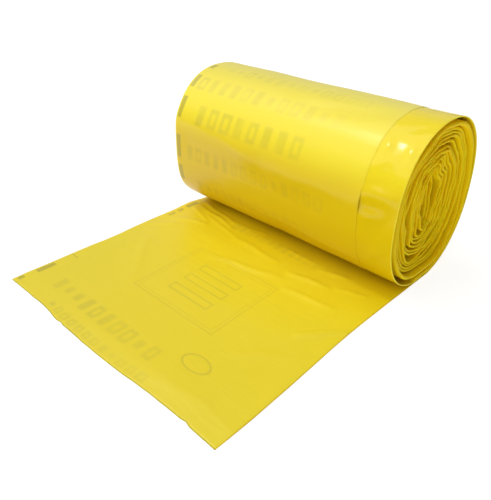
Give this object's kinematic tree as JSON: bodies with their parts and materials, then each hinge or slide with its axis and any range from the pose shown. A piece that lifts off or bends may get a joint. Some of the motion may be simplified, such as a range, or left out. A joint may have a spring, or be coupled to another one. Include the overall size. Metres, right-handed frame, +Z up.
{
  "type": "roll of clinical waste bags",
  "caption": "Coreless roll of thin yellow plastic waste bags lying on its side, with the leading bag pulled out flat in front of it.",
  "frame": {"origin": "on the floor, below the middle of the whole part's box", "axes": "+X along the roll's axis towards its end with the shorter flap, -Y the way the leading bag is pulled out, +Z up"},
  "size_m": [0.2924, 0.3612, 0.1616],
  "materials": {
    "yellow_film": "thin translucent yellow polyethylene film, softly glossy, with fine creases"
  },
  "bodies": {
    "root": {"bag_roll": "yellow_film"}
  },
  "joints": []
}
